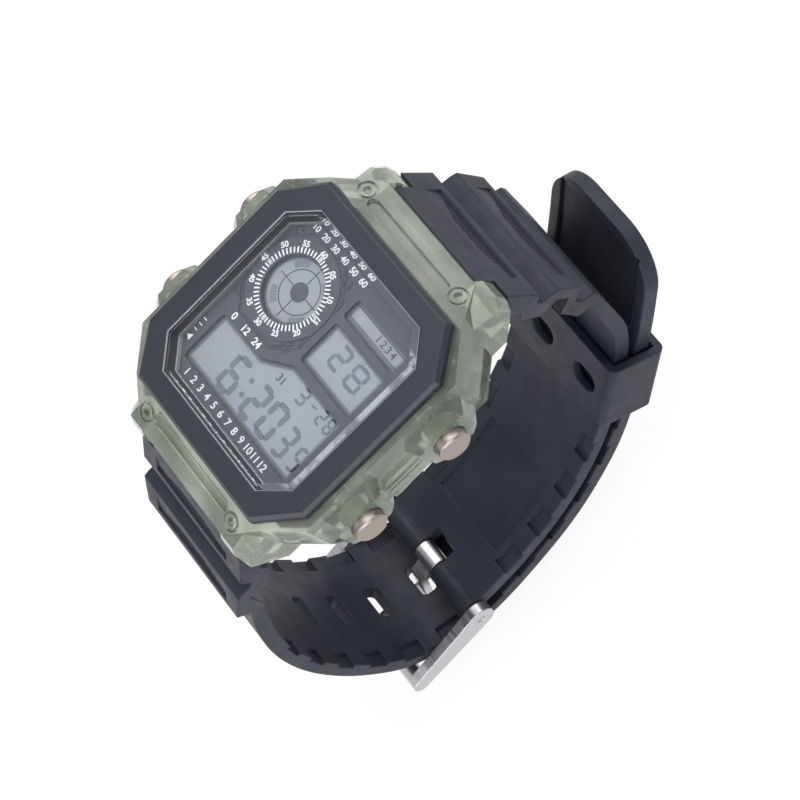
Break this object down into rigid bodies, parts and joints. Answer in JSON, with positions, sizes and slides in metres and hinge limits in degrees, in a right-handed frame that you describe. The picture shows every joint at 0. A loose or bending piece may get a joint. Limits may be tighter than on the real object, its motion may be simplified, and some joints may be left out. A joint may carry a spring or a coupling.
{
  "type": "digital watch",
  "caption": "Digital wristwatch with a translucent resin case, faceted crystal, push buttons and a buckled resin strap.",
  "frame": {"origin": "centre of the case back's outer face", "axes": "+X towards 3 o'clock, +Y towards 12 o'clock, +Z out of the dial"},
  "size_m": [0.0412, 0.0683, 0.0692],
  "materials": {
    "clear_case": "smoke-green translucent resin, gloss, with moulded edges",
    "bezel_paint": "dark blue-grey paint, satin",
    "mineral_glass": "clear mineral glass with a bright chamfered edge",
    "seal_rubber": "black nitrile rubber, matt",
    "dial_print": "dark grey-violet print with pale marks",
    "lcd_glass": "pale grey display glass with blue-grey digits",
    "light_guide_clear": "clear acrylic, polished",
    "lamp_epoxy": "yellowish epoxy over a lamp chip",
    "module_plastic": "black moulded plastic",
    "board_laminate": "green solder mask",
    "chip_epoxy": "black epoxy",
    "ceramic_chip": "tan ceramic with tinned ends",
    "nickel_steel": "nickel-plated steel, satin",
    "spring_steel": "bright spring steel wire and sheet",
    "contact_brass": "gold-flashed brass",
    "film": "amber polyimide film",
    "back_steel": "stainless steel, circular brushing",
    "button_steel": "warm grey plated steel, polished rim",
    "strap_resin": "blue-black resin, fine satin moulded skin",
    "buckle_steel": "satin stainless steel with polished edges",
    "elastomer": "soft silicone pad and zebra rubber, matt"
  },
  "bodies": {
    "case": {"case_shell": "clear_case", "bezel_plate": "bezel_paint", "crystal": "mineral_glass", "crystal_gasket": "seal_rubber", "dial_plate": "dial_print", "lcd_panel": "lcd_glass", "light_guide": "light_guide_clear", "backlight_lamp": "lamp_epoxy", "zebra_connectors": "elastomer", "module_frame": "module_plastic", "circuit_board": "board_laminate", "control_chip": "chip_epoxy", "chip_capacitors": "ceramic_chip", "quartz_crystal": "nickel_steel", "button_contacts": "spring_steel", "board_screws": "nickel_steel", "battery": "nickel_steel", "battery_insulator": "film", "battery_clamp": "spring_steel", "buzzer_disc": "contact_brass", "cushion_pads": "elastomer", "buzzer_spring": "contact_brass", "case_back": "back_steel", "case_back_gasket": "seal_rubber", "case_back_screws": "nickel_steel", "button_seals": "seal_rubber", "lug_bar_12": "nickel_steel", "lug_bar_6": "nickel_steel", "adjust_spring": "spring_steel", "mode_spring": "spring_steel", "light_spring": "spring_steel", "start_spring": "spring_steel"},
    "adjust_button": {"adjust_button": "button_steel", "adjust_clip": "spring_steel"},
    "mode_button": {"mode_button": "button_steel", "mode_clip": "spring_steel"},
    "light_button": {"light_button": "button_steel", "light_clip": "spring_steel"},
    "start_button": {"start_button": "button_steel", "start_clip": "spring_steel"},
    "upper_strap": {"upper_strap": "strap_resin", "buckle_bar": "nickel_steel"},
    "lower_strap": {"lower_strap": "strap_resin"},
    "keeper": {"keeper": "strap_resin"},
    "buckle_frame": {"buckle_frame": "buckle_steel"},
    "buckle_tongue": {"buckle_tongue": "buckle_steel"}
  },
  "joints": [
    {"name": "adjust_press", "type": "slide", "parent": "case", "child": "adjust_button", "axis": [1, 0, 0], "range_m": [0, 0.0008], "stiffness_N_per_m": 1500, "springref_m": -0.0006, "deforming": ["adjust_spring"]},
    {"name": "mode_press", "type": "slide", "parent": "case", "child": "mode_button", "axis": [1, 0, 0], "range_m": [0, 0.0008], "stiffness_N_per_m": 1500, "springref_m": -0.0006, "deforming": ["mode_spring"]},
    {"name": "light_press", "type": "slide", "parent": "case", "child": "light_button", "axis": [-1, 0, 0], "range_m": [0, 0.0008], "stiffness_N_per_m": 1500, "springref_m": -0.0006, "deforming": ["light_spring"]},
    {"name": "start_press", "type": "slide", "parent": "case", "child": "start_button", "axis": [-1, 0, 0], "range_m": [0, 0.0008], "stiffness_N_per_m": 1500, "springref_m": -0.0006, "deforming": ["start_spring"]},
    {"name": "upper_strap_sway", "type": "hinge", "parent": "case", "child": "upper_strap", "pos_m": [0, 0.019, 0.0032], "axis": [1, 0, 0], "range_deg": [-0.5, 0.5]},
    {"name": "lower_strap_sway", "type": "hinge", "parent": "case", "child": "lower_strap", "pos_m": [0, -0.019, 0.0032], "axis": [1, 0, 0], "range_deg": [-0.5, 0.5]},
    {"name": "keeper_slide", "type": "slide", "parent": "upper_strap", "child": "keeper", "axis": [0, -0.6226, -0.7826], "range_m": [-0.0015, 0.0015]},
    {"name": "buckle_frame_hinge", "type": "hinge", "parent": "upper_strap", "child": "buckle_frame", "pos_m": [0, -0.01624, -0.05096], "axis": [1, 0, 0], "range_deg": [-6, 0]},
    {"name": "buckle_tongue_hinge", "type": "hinge", "parent": "upper_strap", "child": "buckle_tongue", "pos_m": [0, -0.01624, -0.05096], "axis": [1, 0, 0], "range_deg": [0, 3]}
  ],
  "couplings": [
    {"joint": "lower_strap_sway", "follows": "upper_strap_sway", "ratio": 1}
  ]
}
